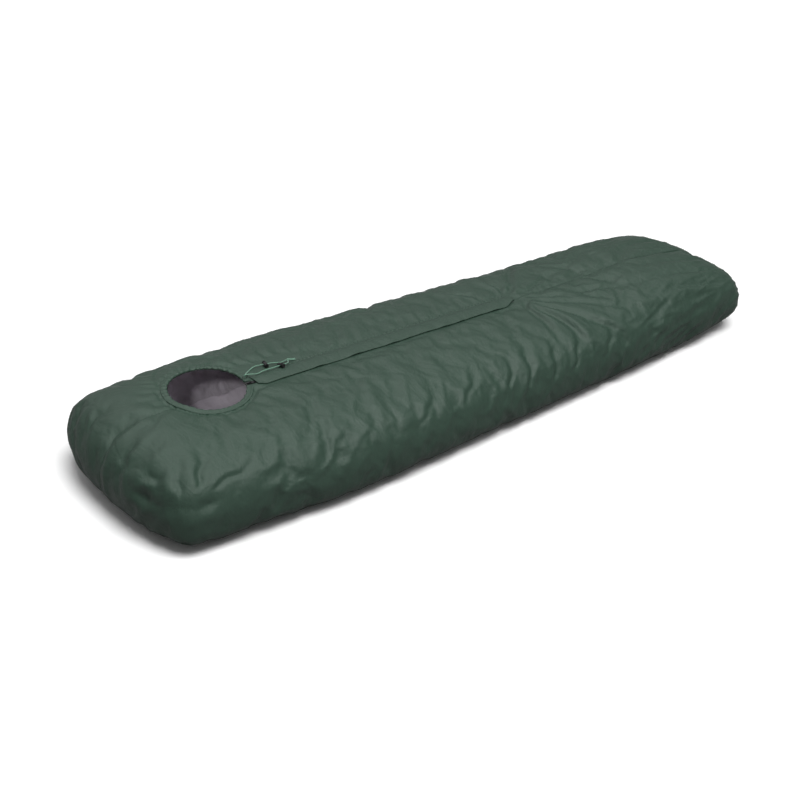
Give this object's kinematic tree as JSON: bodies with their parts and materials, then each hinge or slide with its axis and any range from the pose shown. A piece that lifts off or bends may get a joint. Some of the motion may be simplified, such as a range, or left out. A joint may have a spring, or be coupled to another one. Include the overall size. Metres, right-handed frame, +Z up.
{
  "type": "bivy sack",
  "caption": "Stuffed waterproof bivy sack with a drawcord face opening, a centre zip under a storm flap, and cord locks.",
  "frame": {"origin": "on the ground under the middle of the sack's box", "axes": "+X from the head end to the foot end, +Y to the sleeper's left, +Z up"},
  "size_m": [2.1, 0.6722, 0.2462],
  "materials": {
    "shell_fabric": "coated ripless nylon, dark green, slight sheen",
    "floor_fabric": "heavier coated nylon, dark green outside",
    "seam_tape": "heat-sealed grey tape",
    "cord": "braided green cord",
    "zip_cloth": "woven black zip tape",
    "black_plastic": "moulded black",
    "steel": "plain wire and pressed clip"
  },
  "bodies": {
    "shell": {"top_panel_left": "shell_fabric", "top_panel_right": "shell_fabric", "floor_panel": "floor_fabric", "seam_tape_head": "seam_tape", "seam_tape_foot": "seam_tape", "seam_tape_floor": "seam_tape", "face_hem": "shell_fabric", "hem_eyelet": "black_plastic", "drawcord_in_hem": "cord", "zip_tape_left": "zip_cloth", "zip_tape_right": "zip_cloth", "zip_coil_left": "black_plastic", "zip_coil_right": "black_plastic", "zip_top_stop_left": "black_plastic", "zip_top_stop_right": "black_plastic", "zip_bottom_stop": "steel", "storm_flap_head": "shell_fabric", "storm_flap_binding": "shell_fabric", "drawcord_upper": "cord", "drawcord_lower": "cord", "drawcord_tail_upper": "cord", "drawcord_tail_lower": "cord", "drawcord_knot": "cord"},
    "slider": {"zip_slider": "black_plastic"},
    "pull": {"zip_pull": "black_plastic"},
    "flap": {"storm_flap": "shell_fabric"},
    "lock_a": {"cord_lock_a_barrel": "black_plastic", "cord_lock_a_spring": "steel"},
    "lock_a_button": {"cord_lock_a_button": "black_plastic"},
    "lock_b": {"cord_lock_b_barrel": "black_plastic", "cord_lock_b_spring": "steel"},
    "lock_b_button": {"cord_lock_b_button": "black_plastic"}
  },
  "joints": [
    {"name": "zip_slide", "type": "slide", "parent": "shell", "child": "slider", "axis": [0.9997, 0, -0.0224], "range_m": [0, 0.87]},
    {"name": "zip_pull_hinge", "type": "hinge", "parent": "slider", "child": "pull", "pos_m": [-0.61134, 0, 0.23251], "axis": [0, 1, 0], "range_deg": [0, 150]},
    {"name": "storm_flap_hinge", "type": "hinge", "parent": "shell", "child": "flap", "pos_m": [-0.1191, 0.029, 0.21987], "axis": [-0.9997, 0, 0.0224], "range_deg": [0, 115]},
    {"name": "cord_lock_a_slide", "type": "slide", "parent": "shell", "child": "lock_a", "axis": [0.9783, -0.206, -0.0219], "range_m": [-0.018, 0.008]},
    {"name": "cord_lock_a_press", "type": "slide", "parent": "lock_a", "child": "lock_a_button", "axis": [-0.2059, -0.9786, 0.0046], "range_m": [0, 0.0035], "stiffness_N_per_m": 400, "springref_m": -0.003, "deforming": ["cord_lock_a_spring"]},
    {"name": "cord_lock_b_slide", "type": "slide", "parent": "shell", "child": "lock_b", "axis": [0.9997, 0, -0.0224], "range_m": [-0.04, 0.003]},
    {"name": "cord_lock_b_press", "type": "slide", "parent": "lock_b", "child": "lock_b_button", "axis": [-0.0056, 0.9686, -0.2486], "range_m": [0, 0.0035], "stiffness_N_per_m": 400, "springref_m": -0.003, "deforming": ["cord_lock_b_spring"]}
  ]
}
